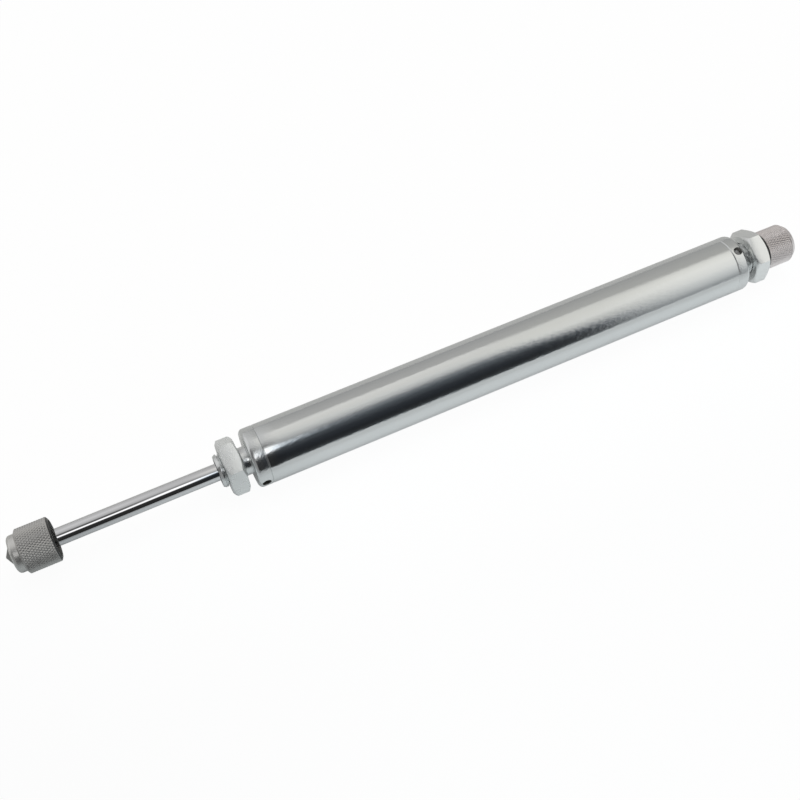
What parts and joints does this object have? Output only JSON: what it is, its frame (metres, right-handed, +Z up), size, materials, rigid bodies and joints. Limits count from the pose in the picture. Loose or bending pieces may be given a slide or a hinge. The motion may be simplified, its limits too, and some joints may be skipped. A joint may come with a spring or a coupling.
{
  "type": "adjustable hydraulic shock absorber",
  "caption": "Slim plated hydraulic shock absorber with threaded necks and lock nuts, a chromed rod with a knurled pointed striker, and a knurled rear knob that sets the damping.",
  "frame": {"origin": "on the cylinder's axis, in the plane of the front mounting shoulder", "axes": "+X along the axis from the striker towards the adjusting knob, +Z up, +Y to the left when looking along +X; stored with the rod fully out"},
  "size_m": [0.4007, 0.028, 0.028],
  "materials": {
    "zinc_plated_steel": "bright zinc plating, turned",
    "chromed_rod": "hard chrome, polished",
    "striker_steel": "satin turned steel",
    "knurled_steel": "diamond knurled, matte",
    "knob_metal": "diamond knurled, matte warm grey",
    "black_rubber": "matte",
    "bronze": "machined",
    "machined_steel": "machined",
    "spring_steel": "drawn wire",
    "slide_plastic": "smooth",
    "grey_foam": "closed cell foam"
  },
  "bodies": {
    "cylinder": {"cylinder_tube": "zinc_plated_steel", "front_cap": "zinc_plated_steel", "rear_cap": "zinc_plated_steel", "front_cap_o_ring": "black_rubber", "rear_cap_o_ring": "black_rubber", "rod_wiper": "black_rubber", "rod_guide_bush": "bronze", "rod_seal": "black_rubber", "seal_washer": "machined_steel", "pressure_tube": "machined_steel", "valve_body": "machined_steel", "retaining_ring": "spring_steel", "key_pin": "machined_steel", "accumulator_foam": "grey_foam", "spindle_retainer": "machined_steel", "return_spring": "spring_steel"},
    "rod": {"piston_rod": "chromed_rod", "striker_core": "striker_steel", "knurled_sleeve": "knurled_steel", "stop_tube": "machined_steel", "piston": "machined_steel", "piston_ring": "slide_plastic", "piston_nut": "machined_steel", "check_spring": "spring_steel"},
    "check_valve": {"check_plate": "spring_steel"},
    "adjuster": {"adjusting_spindle": "machined_steel", "spindle_o_ring": "black_rubber", "adjusting_knob": "knob_metal", "knob_set_screw": "spring_steel"},
    "needle": {"metering_needle": "bronze"},
    "front_nut": {"front_lock_nut": "zinc_plated_steel"},
    "rear_nut": {"rear_lock_nut": "zinc_plated_steel"}
  },
  "joints": [
    {"name": "rod_slide", "type": "slide", "parent": "cylinder", "child": "rod", "axis": [1, 0, 0], "range_m": [0, 0.075], "stiffness_N_per_m": 490, "springref_m": -0.014, "deforming": ["return_spring"]},
    {"name": "check_plate_lift", "type": "slide", "parent": "rod", "child": "check_valve", "axis": [1, 0, 0], "range_m": [0, 0.001], "stiffness_N_per_m": 200, "springref_m": -0.001, "deforming": ["check_spring"]},
    {"name": "knob_turn", "type": "hinge", "parent": "cylinder", "child": "adjuster", "pos_m": [0.282, 0, 0], "axis": [1, 0, 0], "range_deg": [-360, 360]},
    {"name": "needle_travel", "type": "slide", "parent": "cylinder", "child": "needle", "axis": [1, 0, 0], "range_m": [-0.0008, 0.0008]},
    {"name": "front_nut_travel", "type": "slide", "parent": "cylinder", "child": "front_nut", "axis": [1, 0, 0], "range_m": [-0.0028, 0.0037]},
    {"name": "rear_nut_travel", "type": "slide", "parent": "cylinder", "child": "rear_nut", "axis": [1, 0, 0], "range_m": [-0.0048, 0.001]}
  ],
  "couplings": [
    {"joint": "needle_travel", "follows": "knob_turn", "m_per_rad": 0.00011937}
  ]
}
